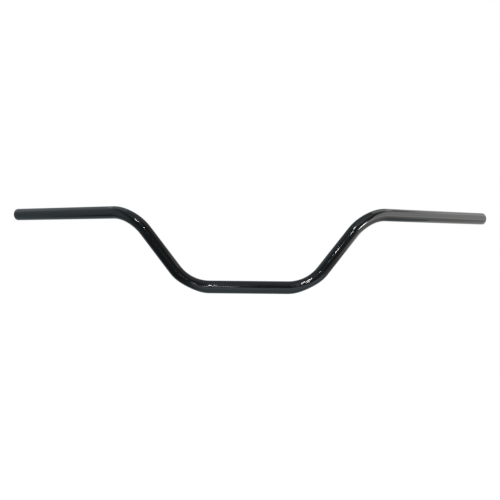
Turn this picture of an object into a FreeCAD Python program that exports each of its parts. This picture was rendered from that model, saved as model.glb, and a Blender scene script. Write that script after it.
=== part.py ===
# Flat track handlebar: one 7/8 inch steel tube, bent twice on each side of its clamp zone, in millimetres.
import FreeCAD, Part
import Sketcher
import math
import os

V = FreeCAD.Vector

# Driving sizes, in the order in which the tube is fed, bent, turned and bent again from its middle.
SIZES = [
    ("tube_diameter", 22.2, "outside diameter, 7/8 inch"),
    ("tube_wall", 2.0, "wall of the tube"),
    ("clamp_straight", 135.0, "straight run that the two clamps hold"),
    ("bend_radius", 76.0, "centre-line radius of every bend, one bending die"),
    ("lower_bend_angle", 52.0, "turn from the clamp zone up into the riser, degrees"),
    ("lower_bend_flat", 1.7, "sinking of the outer wall at the middle of a lower bend"),
    ("riser_straight", 86.0, "straight run between the two bends of one side"),
    ("bend_twist", 37.0, "roll of the tube between its lower and its upper bend, degrees"),
    ("upper_bend_angle", 56.0, "turn from the riser out into the grip, degrees"),
    ("upper_bend_flat", 1.0, "sinking of the outer wall at the middle of an upper bend"),
    ("grip_straight", 242.0, "straight run that carries the grip and the controls"),
    ("bar_lean", 4.0, "lean of the risers towards the rider with the grips level, degrees"),
    ("rim_rounding", 1.2, "radius on the outer edge of the cut end"),
    ("bore_break", 0.5, "chamfer on the inner edge of the cut end"),
]
BEND_STEPS = 6

doc = FreeCAD.newDocument("handlebar_model")
sheet = doc.addObject("Spreadsheet::Sheet", "sizes")
for row, (alias, value, meaning) in enumerate(SIZES, start=1):
    sheet.set(f"A{row}", alias)
    sheet.set(f"B{row}", str(value))
    sheet.set(f"C{row}", meaning)
    sheet.setAlias(f"B{row}", alias)
doc.recompute()

body = doc.addObject("PartDesign::Body", "handlebar")
body.Label = "handlebar"

OUTER_RADIUS = "sizes.tube_diameter / 2"
BORE_RADIUS = "(sizes.tube_diameter / 2 - sizes.tube_wall)"


def origin_plane(role):
    """The body's own origin plane of that role."""
    return next(item for item in body.Origin.OriginFeatures if item.Role == role)


def bind(sketch, kind, arguments, expression):
    """Adds one dimension to a sketch and ties it to the sheet."""
    index = sketch.addConstraint(Sketcher.Constraint(kind, *arguments))
    sketch.setExpression(f"Constraints[{index}]", expression)


def read(expression):
    """The present value of an expression, for a first drawing near its solved place."""
    return float(body.evalExpression(expression))


def bend_line(name, support, mode, parameter, feed, roll, angle):
    """Centre line of one bend: an arc from the sketch's origin that starts along its X axis.

    The sketch lies a feed further along the tube than its support and rolled about the tube.
    """
    sketch = body.newObject("Sketcher::SketchObject", name)
    sketch.AttachmentSupport = [support]
    sketch.MapMode = mode
    sketch.MapPathParameter = parameter
    sketch.AttachmentOffset = FreeCAD.Placement(V(), FreeCAD.Rotation(V(1, 0, 0), read(roll)))
    sketch.setExpression("AttachmentOffset.Base.x", feed)
    sketch.setExpression("AttachmentOffset.Rotation.Angle", roll)
    radius = read("sizes.bend_radius")
    start = -math.pi / 2
    circle = Part.Circle(V(0, radius, 0), V(0, 0, 1), radius)
    arc = sketch.addGeometry(Part.ArcOfCircle(circle, start, start + math.radians(read(angle))))
    sketch.addConstraint(Sketcher.Constraint("Coincident", arc, 1, -1, 1))
    sketch.addConstraint(Sketcher.Constraint("PointOnObject", arc, 3, -2))
    bind(sketch, "Radius", (arc, radius), "sizes.bend_radius")
    bind(sketch, "Angle", (arc, math.radians(read(angle))), angle)
    return sketch


def round_section(sketch):
    """Two concentric circles, the outside and the bore of the tube, drawn in a sketch."""
    for expression in (OUTER_RADIUS, BORE_RADIUS):
        radius = read(expression)
        circle = sketch.addGeometry(Part.Circle(V(), V(0, 0, 1), radius))
        sketch.addConstraint(Sketcher.Constraint("Coincident", circle, 3, -1, 1))
        bind(sketch, "Radius", (circle, radius), expression)


def oval_section(sketch, sink):
    """Two ellipses: the tube with its outer wall sunk towards the bend's centre.

    The inner wall of the bend stays in place, so the middle moves by half of the sinking.
    The width across the bend grows until the mean square of the two half axes is the round one's.
    """
    for expression in (OUTER_RADIUS, BORE_RADIUS):
        minor = f"({expression} - {sink} / 2)"
        major = f"sqrt(2 * ({expression}) ^ 2 - {minor} ^ 2)"
        middle = V(-read(sink) / 2, 0, 0)
        side = middle + V(0, read(major), 0)
        wall = middle + V(-read(minor), 0, 0)
        ellipse = sketch.addGeometry(Part.Ellipse(side, wall, middle))
        sketch.exposeInternalGeometry(ellipse)
        major_line = ellipse + 1
        minor_line = ellipse + 2
        sketch.addConstraint(Sketcher.Constraint("PointOnObject", ellipse, 3, -1))
        sketch.addConstraint(Sketcher.Constraint("Vertical", major_line))
        bind(sketch, "DistanceX", (ellipse, 3, -1, 1, read(sink) / 2), f"{sink} / 2")
        bind(sketch, "Distance", (major_line, 2 * read(major)), f"2 * {major}")
        bind(sketch, "Distance", (minor_line, 2 * read(minor)), f"2 * {minor}")


def bend(name, line, flat):
    """Lofts one bend through sections set square to its centre line, and gives the last section too.

    The sinking of the outer wall grows and fades as the squared sine of the way through the bend.
    """
    sections = []
    for step in range(BEND_STEPS + 1):
        sketch = body.newObject("Sketcher::SketchObject", f"{name}_section_{step}")
        sketch.AttachmentSupport = [(line, "Edge1")]
        sketch.MapMode = "FrenetNB"
        sketch.MapPathParameter = step / BEND_STEPS
        share = math.sin(math.pi * step / BEND_STEPS) ** 2
        if 0 < step < BEND_STEPS:
            oval_section(sketch, f"({share:.6f} * {flat})")
        else:
            round_section(sketch)
        sections.append(sketch)
    doc.recompute()
    loft = body.newObject("PartDesign::AdditiveLoft", name)
    loft.Profile = sections[0]
    loft.Sections = sections[1:]
    doc.recompute()
    return sections[-1]


def straight(name, section, length, backwards):
    """A straight run of tube from a round section."""
    pad = body.newObject("PartDesign::Pad", name)
    pad.Profile = section
    pad.Reversed = backwards
    pad.setExpression("Length", length)
    doc.recompute()
    return pad


def end_rim(feature, radius):
    """Name of the circular edge of that radius on the cut end, the farthest out along X."""
    rims = [
        (edge.CenterOfMass.x, f"Edge{number}")
        for number, edge in enumerate(feature.Shape.Edges, start=1)
        if edge.Curve.TypeId == "Part::GeomCircle" and edge.Closed and abs(edge.Curve.Radius - radius) < 1e-6
    ]
    return max(rims)[1]


# Right half, from the middle of the clamp zone outwards.
clamp_section = body.newObject("Sketcher::SketchObject", "clamp_section")
clamp_section.AttachmentSupport = [(origin_plane("YZ_Plane"), "")]
clamp_section.MapMode = "FlatFace"
round_section(clamp_section)
straight("clamp_half", clamp_section, "sizes.clamp_straight / 2", False)

lower_line = bend_line("lower_bend_line", (origin_plane("XZ_Plane"), ""), "FlatFace", 0.0,
                       "sizes.clamp_straight / 2", "-sizes.bar_lean", "sizes.lower_bend_angle")
lower_end = bend("lower_bend", lower_line, "sizes.lower_bend_flat")
straight("riser", lower_end, "sizes.riser_straight", True)

upper_line = bend_line("upper_bend_line", (lower_line, "Edge1"), "FrenetTN", 1.0,
                       "sizes.riser_straight", "180 + sizes.bend_twist", "sizes.upper_bend_angle")
upper_end = bend("upper_bend", upper_line, "sizes.upper_bend_flat")
grip = straight("grip", upper_end, "sizes.grip_straight", True)

# Cut end: rounded outside, broken edge inside.
rim = body.newObject("PartDesign::Fillet", "rim")
rim.Base = (grip, [end_rim(grip, read(OUTER_RADIUS))])
rim.setExpression("Radius", "sizes.rim_rounding")
doc.recompute()
bore_edge = body.newObject("PartDesign::Chamfer", "bore_edge")
bore_edge.Base = (rim, [end_rim(rim, read(BORE_RADIUS))])
bore_edge.setExpression("Size", "sizes.bore_break")
doc.recompute()

# Left half: the whole right half mirrored across the middle of the clamp zone.
halves = body.newObject("PartDesign::Mirrored", "both_halves")
halves.TransformMode = "Whole shape"
halves.MirrorPlane = (origin_plane("YZ_Plane"), "")
halves.Refine = True
body.Tip = halves
doc.recompute()

failed = [item.Name for item in doc.Objects if "Invalid" in item.State or "Error" in item.State]
if failed:
    raise RuntimeError("not built: " + ", ".join(failed))
tube = body.Shape
if tube.isNull() or not tube.isValid() or len(tube.Solids) != 1:
    raise RuntimeError("the tube is not one valid solid")

bends = math.radians(read("sizes.lower_bend_angle + sizes.upper_bend_angle")) * read("sizes.bend_radius")
half_length = bends + read("sizes.clamp_straight / 2 + sizes.riser_straight + sizes.grip_straight")
ring_area = math.pi * (read(OUTER_RADIUS) ** 2 - read(BORE_RADIUS) ** 2)
share = tube.Volume / (2 * half_length * ring_area)
if abs(share - 1) > 0.03:
    raise RuntimeError(f"the tube's volume is {share:.3f} of its section times its length")

os.makedirs("parts", exist_ok=True)
tube.exportStep(f"parts/{body.Label}.step")
print(f"tube length {2 * half_length:.1f}, volume share {share:.4f}, box {tube.BoundBox}")
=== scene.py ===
"""Flat track handlebar: one bent tube in gloss black paint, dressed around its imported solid."""
import math

import bpy
import numpy as np
from bpy.props import FloatProperty, FloatVectorProperty, IntProperty, PointerProperty
from bpy.types import Operator, Panel, PropertyGroup
from mathutils import Matrix, Vector


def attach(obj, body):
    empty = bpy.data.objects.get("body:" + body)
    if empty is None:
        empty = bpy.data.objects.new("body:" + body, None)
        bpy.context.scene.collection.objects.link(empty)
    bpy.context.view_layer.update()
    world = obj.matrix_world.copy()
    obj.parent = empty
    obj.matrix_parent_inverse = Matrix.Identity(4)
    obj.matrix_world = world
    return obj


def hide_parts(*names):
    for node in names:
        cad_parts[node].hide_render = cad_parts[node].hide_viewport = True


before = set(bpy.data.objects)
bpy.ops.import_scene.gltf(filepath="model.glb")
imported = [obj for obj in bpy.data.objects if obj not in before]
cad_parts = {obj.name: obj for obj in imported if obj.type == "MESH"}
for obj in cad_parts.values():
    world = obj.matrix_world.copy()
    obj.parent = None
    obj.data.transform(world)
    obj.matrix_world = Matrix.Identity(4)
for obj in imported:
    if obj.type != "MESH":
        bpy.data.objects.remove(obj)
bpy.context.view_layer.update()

bl_info = {
    "name": "Flat Track Handlebar",
    "version": (1, 0, 0),
    "blender": (4, 5, 0),
    "location": "3D View > Sidebar > Handlebar",
    "description": "A handlebar bent from one tube, painted gloss black, in a white studio",
    "category": "Add Mesh",
}

PIECE = "handlebar_tube"
NODE = "handlebar"
BODY = "root"

# Runs along half the tube, by number: 0 is the clamp zone and 2 the riser.
LOWER_BEND, UPPER_BEND, GRIP = 1, 3, 4
SHARP_EDGE = math.radians(30)

# Sockets of a Mix node: its factor, then both ends and the result, for plain values and for colours.
MIX_FACTOR, MIX_LOW, MIX_HIGH, MIX_RESULT = 0, 2, 3, 0
MIX_LOW_COLOUR, MIX_HIGH_COLOUR, MIX_RESULT_COLOUR = 6, 7, 2

SENSOR_WIDTH = 36.0
FLOOR_HALF = 40.0
WHITE = (1.0, 1.0, 1.0, 1.0)
PALE_GREY = (0.82, 0.82, 0.82, 1.0)
SHADOW_GREY = (0.1, 0.1, 0.1, 1.0)
FLOOR_GLOW = 0.97
COOL_LIGHT, NEUTRAL_LIGHT = (0.85, 1.02, 1.11), (1.02, 1.0, 0.98)

# Broad dim lamps: name, place, the point each one faces, width, height and radiance.
SOFT_LAMPS = (
    ("right_window", (1.1, -0.2, 0.42), (0.0, -0.2, 0.42), 1.4, 1.1, 1.6),
    ("right_upper", (1.07, -0.1, 0.85), (0.0, -0.1, 0.85), 1.4, 0.8, 0.4),
    ("right_low", (1.05, -0.75, 0.1), (0.2, 0.0, 0.1), 0.3, 0.35, 1.6),
    ("right_top", (0.29, 0.07, 0.3), (0.22, 0.05, 0.12), 0.12, 0.14, 1.2),
    ("right_front", (0.19, -0.12, 0.27), (0.19, 0.02, 0.1), 0.18, 0.18, 0.4),
    ("right_under", (0.57, 0.28, -0.08), (0.41, 0.14, 0.13), 0.3, 0.2, 0.8),
    ("rear_window", (0.7, 0.45, 0.55), (0.35, 0.1, 0.13), 0.55, 0.3, 0.9),
    ("left_window", (-0.95, 0.4, 0.75), (-0.35, 0.1, 0.13), 0.7, 0.5, 0.4),
    ("left_top", (-0.29, 0.07, 0.3), (-0.22, 0.05, 0.12), 0.12, 0.14, 0.5),
    ("left_screen", (-0.11, -2.0, 0.15), (-0.11, 0.0, 0.15), 0.2, 0.34, 0.6),
    ("front_top", (-0.16, -0.7, 1.0), (-0.08, 0.0, 0.0), 0.12, 0.4, 0.5),
    ("ceiling_strip", (-0.8, -5.5, 2.9), (-0.8, -5.5, 0.0), 1.6, 7.0, 0.3),
    ("ceiling_far", (-1.45, -17.0, 2.85), (-1.45, -17.0, 0.0), 1.0, 3.0, 1.4),
)

# Small bright lamps that make the sparkles: the same, then the beam's angle behind a grid, in degrees.
SPARK_LAMPS = (
    ("left_spark", (-0.265, -0.26, 0.335), (-0.195, 0.0, 0.115), 0.016, 0.08, 55.0, 20),
    ("right_spark", (0.118, -0.19, 0.257), (0.181, -0.003, 0.104), 0.02, 0.05, 50.0, 20),
    ("right_low_spark", (0.153, -0.256, 0.188), (0.177, -0.004, 0.096), 0.012, 0.012, 65.0, 14),
    ("bend_line", (0.107, -0.28, 0.074), (0.1, -0.011, 0.01), 0.012, 0.045, 100.0, 8),
    ("front_spark", (-0.13, -0.94, 0.513), (-0.05, 0.0, 0.05), 0.022, 0.034, 140.0, 180),
    ("clamp_line", (-0.13, -2.2, 0.33), (-0.13, 0.0, 0.0), 0.1, 0.1, 15.0, 180),
    ("right_edge", (1.12, -1.11, 0.05), (0.2, 0.0, 0.1), 0.16, 0.34, 40.0, 180),
    ("ceiling_near", (-0.77, -3.4, 2.85), (-0.77, -3.4, 0.0), 0.06, 0.4, 150.0, 180),
    ("ceiling_middle", (-0.6, -10.0, 2.85), (-0.6, -10.0, 0.0), 0.1, 2.0, 10.0, 180),
)

# A lamp that lights surfaces but shows in no mirror image, in the terms of the broad lamps.
OVERHEAD_LAMP = ("overhead", (0.3, 0.1, 1.7), (0.0, 0.0, 0.0), 1.4, 1.4, 1.0)


class BarSizes(PropertyGroup):
    """The bend sheet of the tube, from the middle of its clamp zone outwards."""

    tube_diameter: FloatProperty(
        name="Tube Diameter", description="Outside diameter of the tube", default=0.0222, unit="LENGTH")
    tube_wall: FloatProperty(
        name="Tube Wall", description="Wall thickness of the tube", default=0.002, unit="LENGTH")
    clamp_straight: FloatProperty(
        name="Clamp Straight", description="Straight run that the clamps hold", default=0.135,
        unit="LENGTH")
    bend_radius: FloatProperty(
        name="Bend Radius", description="Centre-line radius of every bend", default=0.076, unit="LENGTH")
    lower_bend_angle: FloatProperty(
        name="Lower Bend", description="Turn up into the riser", default=math.radians(52),
        subtype="ANGLE")
    lower_bend_flat: FloatProperty(
        name="Lower Flattening", description="Sinking of the outer wall in a lower bend",
        default=0.0017, unit="LENGTH")
    riser_straight: FloatProperty(
        name="Riser Straight", description="Straight run between the bends", default=0.086,
        unit="LENGTH")
    bend_twist: FloatProperty(
        name="Twist", description="Roll of the tube between its bends", default=math.radians(37),
        subtype="ANGLE")
    upper_bend_angle: FloatProperty(
        name="Upper Bend", description="Turn out into the grip", default=math.radians(56),
        subtype="ANGLE")
    upper_bend_flat: FloatProperty(
        name="Upper Flattening", description="Sinking of the outer wall in an upper bend",
        default=0.001, unit="LENGTH")
    grip_straight: FloatProperty(
        name="Grip Straight", description="Straight run for grip and controls", default=0.242,
        unit="LENGTH")
    bar_lean: FloatProperty(
        name="Lean", description="Lean of the risers towards the rider", default=math.radians(4),
        subtype="ANGLE")
    rim_rounding: FloatProperty(
        name="Rim Rounding", description="Radius on the outer edge of a cut end", default=0.0012,
        unit="LENGTH")
    bore_break: FloatProperty(
        name="Bore Break", description="Chamfer on the inner edge of a cut end", default=0.0005,
        unit="LENGTH")
    facets_around: IntProperty(
        name="Facets Around", description="Faces round the tube", default=96, min=12)
    steps_per_bend: IntProperty(
        name="Steps per Bend", description="Rings of faces along one bend", default=56, min=8)
    steps_per_run: IntProperty(
        name="Steps per Run", description="Rings of faces along one straight run", default=14, min=2)
    rim_steps: IntProperty(
        name="Rim Steps", description="Rings of points round the rim of a cut end", default=9, min=2)


class PaintFinish(PropertyGroup):
    """Gloss paint outside and bare steel in the bore."""

    paint_colour: FloatVectorProperty(
        name="Paint", description="Black of the paint", default=(0.0028, 0.0032, 0.0035), size=3,
        subtype="COLOR", min=0.0, max=1.0)
    haze_colour: FloatVectorProperty(
        name="Haze", description="Paint where hands have dulled it", default=(0.0040, 0.0044, 0.0047),
        size=3, subtype="COLOR", min=0.0, max=1.0)
    gloss_low: FloatProperty(
        name="Clean Roughness", description="Roughness of clean paint", default=0.06, min=0.0, max=1.0)
    gloss_high: FloatProperty(
        name="Hazed Roughness", description="Roughness of dulled paint", default=0.09, min=0.0, max=1.0)
    peel_depth: FloatProperty(
        name="Orange Peel", description="Depth of the ripple left by spraying", default=0.0000006,
        unit="LENGTH")
    steel_colour: FloatVectorProperty(
        name="Steel", description="Bare steel inside the bore", default=(0.29, 0.275, 0.26), size=3,
        subtype="COLOR", min=0.0, max=1.0)
    stain_colour: FloatVectorProperty(
        name="Stain", description="Steel where it has browned", default=(0.1305, 0.099, 0.07254), size=3,
        subtype="COLOR", min=0.0, max=1.0)
    steel_low: FloatProperty(
        name="Steel Roughness", description="Roughness of clean steel", default=0.38, min=0.0, max=1.0)
    steel_high: FloatProperty(
        name="Stain Roughness", description="Roughness of browned steel", default=0.62, min=0.0, max=1.0)
    steel_ripple: FloatProperty(
        name="Drawn Ripple", description="Depth of the ripple left by drawing the tube", default=0.00003,
        unit="LENGTH")


class StudioSetup(PropertyGroup):
    """White sweep, soft light and a camera in front of the bar."""

    lens: FloatProperty(
        name="Lens", description="Focal length on a 36 mm square frame, in millimetres", default=51.067)
    camera_place: FloatVectorProperty(
        name="Camera", description="Place of the camera", default=(0.00688, -1.2251, 0.07131), size=3,
        subtype="TRANSLATION")
    camera_turn: FloatProperty(
        name="Turn", description="Turn of the camera to the right", default=-0.00417, subtype="ANGLE")
    camera_dip: FloatProperty(
        name="Dip", description="Tilt of the camera below level", default=0.0056, subtype="ANGLE")
    camera_roll: FloatProperty(
        name="Roll", description="Turn of the camera about its view", default=0.00982, subtype="ANGLE")
    floor_height: FloatProperty(
        name="Floor", description="Height of the floor", default=-0.42, unit="LENGTH")


def run_ends(sizes):
    """Lengths at which the runs along half the tube meet: each run's own length, added up."""
    lengths = [
        sizes.clamp_straight / 2,
        sizes.bend_radius * sizes.lower_bend_angle,
        sizes.riser_straight,
        sizes.bend_radius * sizes.upper_bend_angle,
        sizes.grip_straight,
    ]
    return np.cumsum([0.0] + lengths)


def tube_surface(sizes, along, radius, around):
    """Points of the tube at a signed length along it, a radius and an angle around it, as one array.

    The centre line is straight, an arc, straight, an arc and straight again, from the middle outwards.
    Two cross axes are carried along it without spinning. In a bend the ring is an ellipse: the outer
    wall sinks by the flattening times the squared sine of the way through the bend, the inner wall
    stays, and the width grows so that the mean square of both half axes is the round radius squared.
    A negative length gives the mirror image in x.
    """
    ends = run_ends(sizes)
    length = np.abs(along)
    lean = np.array([0.0, math.sin(sizes.bar_lean), math.cos(sizes.bar_lean)])
    place = np.zeros(3)
    ahead = np.array([1.0, 0.0, 0.0])
    first, second = -lean, np.cross(ahead, lean)
    bends = {
        LOWER_BEND: (sizes.lower_bend_angle, 0.0, sizes.lower_bend_flat),
        UPPER_BEND: (sizes.upper_bend_angle, math.pi - sizes.bend_twist, sizes.upper_bend_flat),
    }
    points = np.zeros((length.size, around.size, 3))
    cos_around, sin_around = np.cos(around)[None, :, None], np.sin(around)[None, :, None]
    for run in range(GRIP + 1):
        low, high = ends[run], ends[run + 1]
        inside = (length >= low) & ((length <= high) if run == GRIP else (length < high))
        step = (length[inside] - low)[:, None]
        ring = radius[inside][:, None, None]
        if run not in bends:
            centre = place + step * ahead
            points[inside] = centre[:, None] + ring * (cos_around * first + sin_around * second)
            place = place + (high - low) * ahead
            continue
        angle, offset, flat = bends[run]
        outward = math.cos(offset) * first + math.sin(offset) * second
        across = -math.sin(offset) * first + math.cos(offset) * second
        turn = step / sizes.bend_radius
        sink = (flat * np.sin(math.pi * turn / angle) ** 2)[:, :, None]
        out_here = np.cos(turn) * outward + np.sin(turn) * ahead
        centre = place + sizes.bend_radius * (out_here - outward)
        half_in = ring - sink / 2
        half_out = np.sqrt(2 * ring ** 2 - half_in ** 2)
        cos_here = np.cos(around - offset)[None, :, None]
        sin_here = np.sin(around - offset)[None, :, None]
        points[inside] = (centre[:, None] + (half_in * cos_here - sink / 2) * out_here[:, None]
                          + half_out * sin_here * across)
        place = place + sizes.bend_radius * (
            math.cos(angle) * outward + math.sin(angle) * ahead - outward)
        ahead, outward = (math.cos(angle) * ahead - math.sin(angle) * outward,
                          math.cos(angle) * outward + math.sin(angle) * ahead)
        first = math.cos(offset) * outward - math.sin(offset) * across
        second = math.sin(offset) * outward + math.cos(offset) * across
    points[along < 0, :, 0] *= -1
    return points


def wall_profile(sizes):
    """Closed section of the tube's wall, as lengths along the tube and radii, with a mark for the bore.

    It runs out along the outside, round a quarter-circle rim, across the cut end, over a chamfer, back
    along the bore and round the other end in the same way.
    """
    ends = run_ends(sizes)
    outer = sizes.tube_diameter / 2
    bore = outer - sizes.tube_wall
    counts = [sizes.steps_per_run, sizes.steps_per_bend, sizes.steps_per_run, sizes.steps_per_bend]
    tip = ends[-1]
    stretches = [np.linspace(ends[run], ends[run + 1], count, endpoint=False)
                 for run, count in enumerate(counts)]
    stretches.append(
        np.linspace(ends[GRIP], tip - sizes.rim_rounding, 2 * sizes.steps_per_run, endpoint=False))
    half = np.concatenate(stretches)
    quarter = np.linspace(0, math.pi / 2, sizes.rim_steps)
    rim_along = tip - sizes.rim_rounding * (1 - np.sin(quarter))
    rim_radius = outer - sizes.rim_rounding * (1 - np.cos(quarter))
    edge_along = np.array([tip, tip - sizes.bore_break])
    edge_radius = np.array([bore + sizes.bore_break, bore])
    inner = half[half < tip - 2 * sizes.rim_rounding]
    right_along = np.concatenate([half[1:], rim_along, edge_along, inner[:0:-1]])
    right_radius = np.concatenate(
        [np.full(half.size - 1, outer), rim_radius, edge_radius, np.full(inner.size - 1, bore)])
    in_bore = np.arange(right_along.size) >= half.size + rim_along.size
    along = np.concatenate([[0.0], right_along, [0.0], -right_along[::-1]])
    radius = np.concatenate([[outer], right_radius, [bore], right_radius[::-1]])
    bored = np.concatenate([[False], in_bore, [True], in_bore[::-1]])
    return along, radius, bored


def closed_grid(rows, columns):
    """Quads of a grid that closes on itself both ways, one row of corners per face."""
    row, column = np.meshgrid(np.arange(rows), np.arange(columns), indexing="ij")
    next_row, next_column = (row + 1) % rows, (column + 1) % columns
    corners = np.stack([row * columns + column, next_row * columns + column,
                        next_row * columns + next_column, row * columns + next_column], axis=-1)
    return corners.reshape(-1, 4)


def mesh_from_grid(name, points, quads):
    """A smooth mesh from an array of points and an array of quads."""
    mesh = bpy.data.meshes.new(name)
    mesh.vertices.add(len(points))
    mesh.vertices.foreach_set("co", points.astype(np.float32).ravel())
    mesh.loops.add(quads.size)
    mesh.loops.foreach_set("vertex_index", quads.astype(np.int32).ravel())
    mesh.polygons.add(len(quads))
    mesh.polygons.foreach_set("loop_start", np.arange(0, quads.size, 4, dtype=np.int32))
    mesh.update(calc_edges=True)
    mesh.polygons.foreach_set("use_smooth", np.ones(len(quads), dtype=bool))
    mesh.validate()
    return mesh


def add_node(tree, kind, values=None, links=None, **settings):
    """Adds a node, sets its own settings, then its sockets' values and the links that feed them."""
    node = tree.nodes.new(kind)
    for key, value in settings.items():
        setattr(node, key, value)
    for key, value in (values or {}).items():
        node.inputs[key].default_value = value
    for key, source in (links or {}).items():
        tree.links.new(source, node.inputs[key])
    return node


def mottle_group():
    """Shared effect: soft clouds at hand size, as a mask, and a fine ripple, as a height."""
    group = bpy.data.node_groups.new("mottle_and_ripple", "ShaderNodeTree")
    sockets = group.interface
    for name, default in (("Cloud Scale", 20.0), ("Cloud Low", 0.4), ("Cloud High", 0.7),
                          ("Ripple Scale", 400.0)):
        sockets.new_socket(name, in_out="INPUT", socket_type="NodeSocketFloat").default_value = default
    sockets.new_socket("Mask", in_out="OUTPUT", socket_type="NodeSocketFloat")
    sockets.new_socket("Height", in_out="OUTPUT", socket_type="NodeSocketFloat")
    inlet = add_node(group, "NodeGroupInput")
    place = add_node(group, "ShaderNodeTexCoord").outputs["Object"]
    clouds = add_node(group, "ShaderNodeTexNoise", {"Detail": 4.0, "Roughness": 0.6},
                      {"Vector": place, "Scale": inlet.outputs["Cloud Scale"]})
    mask = add_node(group, "ShaderNodeMapRange", None,
                    {"Value": clouds.outputs["Fac"], "From Min": inlet.outputs["Cloud Low"],
                     "From Max": inlet.outputs["Cloud High"]}, interpolation_type="SMOOTHSTEP")
    ripple = add_node(group, "ShaderNodeTexNoise", {"Detail": 2.0, "Roughness": 0.45},
                      {"Vector": place, "Scale": inlet.outputs["Ripple Scale"]})
    add_node(group, "NodeGroupOutput", None,
             {"Mask": mask.outputs["Result"], "Height": ripple.outputs["Fac"]})
    return group


def new_material(name):
    """An empty material with its tree and output node."""
    material = bpy.data.materials.new(name)
    material.use_nodes = True
    material.node_tree.nodes.clear()
    return material, material.node_tree, add_node(material.node_tree, "ShaderNodeOutputMaterial")


def place_group(tree, group, values):
    """Puts a shared group into a material with its own values."""
    return add_node(tree, "ShaderNodeGroup", values, node_tree=group)


def blend_colours(tree, factor, low, high):
    """A colour that goes from low to high with a factor."""
    mix = add_node(tree, "ShaderNodeMix", data_type="RGBA")
    mix.inputs[MIX_LOW_COLOUR].default_value = (*low, 1.0)
    mix.inputs[MIX_HIGH_COLOUR].default_value = (*high, 1.0)
    tree.links.new(factor, mix.inputs[MIX_FACTOR])
    return mix.outputs[MIX_RESULT_COLOUR]


def gloss_paint(finish, group):
    """Gloss black paint: nearly even black, slightly dulled in clouds, with a faint sprayed ripple."""
    material, tree, output = new_material("gloss_black_paint")
    wear = place_group(tree, group, {"Cloud Scale": 26.0, "Cloud Low": 0.45, "Cloud High": 0.75,
                                     "Ripple Scale": 1200.0})
    colour = blend_colours(tree, wear.outputs["Mask"], finish.paint_colour, finish.haze_colour)
    roughness = add_node(tree, "ShaderNodeMapRange",
                         {"To Min": finish.gloss_low, "To Max": finish.gloss_high},
                         {"Value": wear.outputs["Mask"]})
    bump = add_node(tree, "ShaderNodeBump", {"Strength": 1.0, "Distance": finish.peel_depth},
                    {"Height": wear.outputs["Height"]})
    shader = add_node(tree, "ShaderNodeBsdfPrincipled", {"IOR": 1.5},
                      {"Base Color": colour, "Roughness": roughness.outputs["Result"],
                       "Normal": bump.outputs["Normal"]})
    tree.links.new(shader.outputs["BSDF"], output.inputs["Surface"])
    return material


def bore_steel(finish, group):
    """Bare drawn steel inside the tube: dull metal with brown clouds."""
    material, tree, output = new_material("bare_bore_steel")
    wear = place_group(tree, group, {"Cloud Scale": 60.0, "Cloud Low": 0.35, "Cloud High": 0.7,
                                     "Ripple Scale": 900.0})
    colour = blend_colours(tree, wear.outputs["Mask"], finish.steel_colour, finish.stain_colour)
    roughness = add_node(tree, "ShaderNodeMapRange",
                         {"To Min": finish.steel_low, "To Max": finish.steel_high},
                         {"Value": wear.outputs["Mask"]})
    bump = add_node(tree, "ShaderNodeBump", {"Strength": 1.0, "Distance": finish.steel_ripple},
                    {"Height": wear.outputs["Height"]})
    shader = add_node(tree, "ShaderNodeBsdfPrincipled", {"Metallic": 1.0},
                      {"Base Color": colour, "Roughness": roughness.outputs["Result"],
                       "Normal": bump.outputs["Normal"]})
    tree.links.new(shader.outputs["BSDF"], output.inputs["Surface"])
    return material


class HANDLEBAR_OT_tube(Operator):
    """Builds the bent tube, outside, rims and bore, in place of its solid"""

    bl_idname = "handlebar.tube"
    bl_label = "Bent Tube"

    def execute(self, context):
        sizes, finish = context.scene.bar_sizes, context.scene.bar_finish
        along, radius, bored = wall_profile(sizes)
        around = np.linspace(0, 2 * math.pi, sizes.facets_around, endpoint=False)
        points = tube_surface(sizes, along, radius, around).reshape(-1, 3)
        mesh = mesh_from_grid(PIECE, points, closed_grid(along.size, around.size))
        mesh.set_sharp_from_angle(angle=SHARP_EDGE)
        group = mottle_group()
        mesh.materials.append(gloss_paint(finish, group))
        mesh.materials.append(bore_steel(finish, group))
        steel_rows = bored & np.roll(bored, -1)
        mesh.polygons.foreach_set("material_index", np.repeat(steel_rows, around.size).astype(np.int32))
        tube = bpy.data.objects.new(PIECE, mesh)
        context.scene.collection.objects.link(tube)
        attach(tube, BODY)
        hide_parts(NODE)
        return {"FINISHED"}


def soft_step(tree, value, start, end):
    """A mask that goes smoothly from 0 at start to 1 at end."""
    return add_node(tree, "ShaderNodeMapRange", {"From Min": start, "From Max": end}, {"Value": value},
                    interpolation_type="SMOOTHSTEP").outputs["Result"]


def both(tree, one, other):
    """A mask that is 1 where two masks are."""
    return add_node(tree, "ShaderNodeMath", None, {0: one, 1: other}, operation="MULTIPLY").outputs[0]


def larger(tree, one, other):
    """The larger of two masks."""
    return add_node(tree, "ShaderNodeMath", None, {0: one, 1: other}, operation="MAXIMUM").outputs[0]


def towards(tree, place, axis):
    """How far a place lies along an axis."""
    return add_node(tree, "ShaderNodeVectorMath", {1: axis}, {0: place},
                    operation="DOT_PRODUCT").outputs["Value"]


def floor_patch(tree, place, centre, reach, core):
    """Mask of an oval on the floor: 1 within its core, a share of its reach, and 0 beyond its reach."""
    offset = add_node(tree, "ShaderNodeVectorMath", {1: (*centre, 0.0)}, {0: place},
                      operation="SUBTRACT")
    shares = add_node(tree, "ShaderNodeVectorMath", {1: (*reach, 1.0)}, {0: offset.outputs[0]},
                      operation="DIVIDE")
    far = add_node(tree, "ShaderNodeVectorMath", None, {0: shares.outputs[0]}, operation="LENGTH")
    return soft_step(tree, far.outputs["Value"], 1.0, core)


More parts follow.
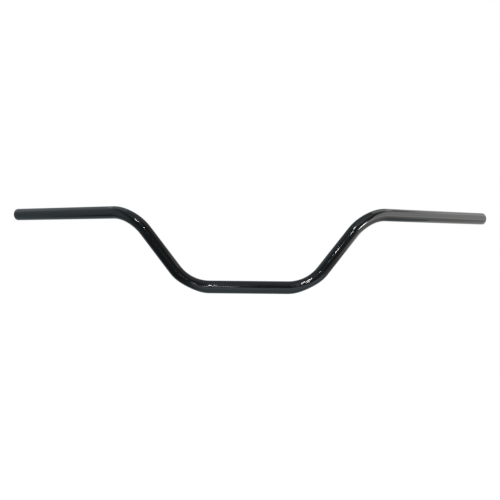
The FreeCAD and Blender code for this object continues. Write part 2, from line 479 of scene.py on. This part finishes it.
def layered(tree, base, layers):
    """A brightness built up from a base and layers, each a mask and the brightness where it is 1."""
    level = None
    for mask, brightness in layers:
        mix = add_node(tree, "ShaderNodeMix", {MIX_LOW: base, MIX_HIGH: brightness}, {MIX_FACTOR: mask})
        if level is not None:
            tree.links.new(level, mix.inputs[MIX_LOW])
        level = mix.outputs[MIX_RESULT]
    return level


def sided_light(tree, level, side, start, end):
    """Light of a brightness, cool at the left and neutral at the right, changing from start to end."""
    tint = blend_colours(tree, soft_step(tree, side, start, end), COOL_LIGHT, NEUTRAL_LIGHT)
    return add_node(tree, "ShaderNodeVectorMath", None, {0: tint, "Scale": level},
                    operation="SCALE").outputs["Vector"]


def pale_floor():
    """Pale floor: white to the camera with a faint shadow, and in mirror images a glowing tabletop with
    painted light and shade.

    A mirror image shows painted light and shade: bright in front of the bar, half as bright below and
    behind it, brighter at the right, as if lit there, and dark at the front left, as if no light fell
    there.
    """
    material, tree, output = new_material("pale_floor")
    rays = add_node(tree, "ShaderNodeLightPath")
    mirrored = larger(tree, rays.outputs["Is Glossy Ray"], rays.outputs["Is Transmission Ray"])
    seen = larger(tree, rays.outputs["Is Camera Ray"], mirrored)
    place = add_node(tree, "ShaderNodeTexCoord").outputs["Object"]
    split = add_node(tree, "ShaderNodeSeparateXYZ", None, {"Vector": place}).outputs
    right_wedge = soft_step(tree, towards(tree, place, (0.766, 0.643, 0.0)), 0.2, 0.6)
    left_wedge = soft_step(tree, towards(tree, place, (-0.643, 0.766, 0.0)), 0.1, 0.6)
    far_front = soft_step(tree, split["Y"], -0.5, -1.6)
    bright_lane = floor_patch(tree, place, (0.0, -2.2), (0.62, 2.6), 0.5)
    right_front = floor_patch(tree, place, (0.48, -0.45), (0.5, 0.55), 0.4)
    right_side = both(tree, right_wedge, soft_step(tree, split["X"], 0.92, 1.06))
    right_shade = floor_patch(tree, place, (0.85, 0.22), (0.25, 0.25), 0.3)
    left_side = both(tree, left_wedge, soft_step(tree, split["X"], -0.9, -1.4))
    left_front = floor_patch(tree, place, (-0.85, -0.5), (0.62, 0.85), 0.45)
    left_shade = floor_patch(tree, place, (-0.48, 0.0), (0.3, 0.35), 0.4)
    # painted light and shade: brightness levels painted on the floor by place, seen only in mirror
    # images
    level = layered(tree, base=0.5, layers=(
        (far_front, 0.15), (bright_lane, 1.16), (right_front, 1.08), (right_side, 1.55),
        (right_shade, 0.7), (left_side, 0.56), (left_front, 0.1), (left_shade, 0.15)))
    plain = add_node(tree, "ShaderNodeBsdfDiffuse", {"Color": PALE_GREY})
    faint = add_node(tree, "ShaderNodeBsdfDiffuse", {"Color": SHADOW_GREY})
    white = add_node(tree, "ShaderNodeEmission", {"Color": WHITE, "Strength": FLOOR_GLOW})
    shaded = add_node(tree, "ShaderNodeAddShader", None, {0: faint.outputs[0], 1: white.outputs[0]})
    # painted reflection: the floor glows with these painted levels in mirror images, though it is no
    # lamp
    painted_table_light = add_node(tree, "ShaderNodeEmission", {"Strength": 1.0},
                     {"Color": sided_light(tree, level, split["X"], start=0.5, end=1.0)})
    looked = add_node(tree, "ShaderNodeMixShader", None,
                      {0: mirrored, 1: shaded.outputs[0], 2: painted_table_light.outputs[0]})
    shown = add_node(tree, "ShaderNodeMixShader", None,
                     {0: seen, 1: plain.outputs[0], 2: looked.outputs[0]})
    tree.links.new(shown.outputs[0], output.inputs["Surface"])
    return material


def studio_world():
    """Studio round the bar, by direction: a dim room in front, paler overhead, behind and at both sides.

    The white sweep behind the bar fills the camera's view, and mirror images show it there too.
    """
    world = bpy.data.worlds.new("white_studio")
    world.use_nodes = True
    tree = world.node_tree
    tree.nodes.clear()
    output = add_node(tree, "ShaderNodeOutputWorld")
    rays = add_node(tree, "ShaderNodeLightPath")
    direction = add_node(tree, "ShaderNodeTexCoord").outputs["Generated"]
    split = add_node(tree, "ShaderNodeSeparateXYZ", None, {"Vector": direction}).outputs
    right_low = both(tree, soft_step(tree, split["X"], 0.4, 0.9), soft_step(tree, split["Z"], 0.6, 0.35))
    overhead = soft_step(tree, split["Z"], 0.35, 1.0)
    behind = soft_step(tree, split["Y"], 0.0, 0.5)
    dark_corner = soft_step(tree, towards(tree, direction, (0.42, -0.6, 0.68)), 0.927, 0.985)
    left_wall = soft_step(tree, split["X"], -0.55, -0.85)
    level = layered(tree, base=0.15, layers=(
        (overhead, 0.5), (behind, 0.4), (dark_corner, 0.13), (left_wall, 0.65), (right_low, 1.2)))
    room = add_node(tree, "ShaderNodeBackground", {"Strength": 1.0},
                    {"Color": sided_light(tree, level, split["X"], start=-0.1, end=0.5)})
    white = add_node(tree, "ShaderNodeBackground", {"Color": WHITE, "Strength": 1.0})
    sweep = larger(tree, rays.outputs["Is Camera Ray"], soft_step(tree, split["Y"], 0.92, 0.97))
    shown = add_node(tree, "ShaderNodeMixShader", None,
                     {0: sweep, 1: room.outputs[0], 2: white.outputs[0]})
    tree.links.new(shown.outputs[0], output.inputs["Surface"])
    return world


def soft_lamp(scene, name, place, target, width, height, radiance, grid=180):
    """An area lamp of an even radiance, aimed at a point, with a grid that narrows its beam to an angle.

    Its power is radiance times area times pi, times the share that the grid lets through: one less half
    the angle over that half's tangent.
    """
    half_beam = math.radians(grid) / 2
    lamp = bpy.data.lights.new(name, "AREA")
    lamp.shape = "RECTANGLE"
    lamp.size, lamp.size_y = width, height
    lamp.spread = 2 * half_beam
    lamp.energy = radiance * width * height * math.pi * (1 - half_beam / math.tan(half_beam))
    holder = bpy.data.objects.new(name, lamp)
    aim = Vector(target) - Vector(place)
    holder.matrix_world = Matrix.Translation(place) @ aim.to_track_quat("-Z", "Y").to_matrix().to_4x4()
    holder.visible_camera = False
    scene.collection.objects.link(holder)
    return holder


def front_camera(scene, studio):
    """Camera in front of the bar, turned, dipped and rolled by its three small angles."""
    data = bpy.data.cameras.new("front_camera")
    data.sensor_fit, data.sensor_width, data.lens = "HORIZONTAL", SENSOR_WIDTH, studio.lens
    camera = bpy.data.objects.new("front_camera", data)
    facing = Matrix.Rotation(-studio.camera_turn, 4, "Z") @ Matrix.Rotation(
        math.pi / 2 - studio.camera_dip, 4, "X") @ Matrix.Rotation(studio.camera_roll, 4, "Z")
    camera.matrix_world = Matrix.Translation(studio.camera_place) @ facing
    scene.collection.objects.link(camera)
    scene.camera = camera


class HANDLEBAR_OT_studio(Operator):
    """Sets the white floor, the studio round it, the lamps and the camera"""

    bl_idname = "handlebar.studio"
    bl_label = "White Studio"

    def execute(self, context):
        scene, studio = context.scene, context.scene.bar_studio
        corners = FLOOR_HALF * np.array([[-1, -1, 0], [1, -1, 0], [1, 1, 0], [-1, 1, 0]])
        mesh = mesh_from_grid("floor", corners, np.array([[0, 1, 2, 3]]))
        mesh.materials.append(pale_floor())
        floor = bpy.data.objects.new("floor", mesh)
        floor.location.z = studio.floor_height
        scene.collection.objects.link(floor)
        scene.world = studio_world()
        for lamp in SOFT_LAMPS + SPARK_LAMPS:
            soft_lamp(scene, *lamp)
        soft_lamp(scene, *OVERHEAD_LAMP).visible_glossy = False
        front_camera(scene, studio)
        scene.view_settings.view_transform = "Standard"
        return {"FINISHED"}


class HANDLEBAR_PT_panel(Panel):
    """Sizes, finish and stage of the handlebar"""

    bl_idname = "HANDLEBAR_PT_panel"
    bl_label = "Handlebar"
    bl_space_type = "VIEW_3D"
    bl_region_type = "UI"
    bl_category = "Handlebar"

    def draw(self, context):
        scene = context.scene
        for group, operator in ((scene.bar_sizes, None), (scene.bar_finish, HANDLEBAR_OT_tube),
                                (scene.bar_studio, HANDLEBAR_OT_studio)):
            column = self.layout.column()
            for name in group.__annotations__:
                column.prop(group, name)
            if operator:
                column.operator(operator.bl_idname)


CLASSES = (
    BarSizes, PaintFinish, StudioSetup, HANDLEBAR_OT_tube, HANDLEBAR_OT_studio, HANDLEBAR_PT_panel)


def register():
    """Registers the classes and hangs the settings on the scene."""
    for item in CLASSES:
        bpy.utils.register_class(item)
    bpy.types.Scene.bar_sizes = PointerProperty(type=BarSizes)
    bpy.types.Scene.bar_finish = PointerProperty(type=PaintFinish)
    bpy.types.Scene.bar_studio = PointerProperty(type=StudioSetup)


def unregister():
    """Takes the settings and the classes away again."""
    del bpy.types.Scene.bar_studio
    del bpy.types.Scene.bar_finish
    del bpy.types.Scene.bar_sizes
    for item in reversed(CLASSES):
        bpy.utils.unregister_class(item)


def main():
    """Registers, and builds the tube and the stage."""
    register()
    bpy.ops.handlebar.tube()
    bpy.ops.handlebar.studio()


if __name__ == "__main__":
    main()
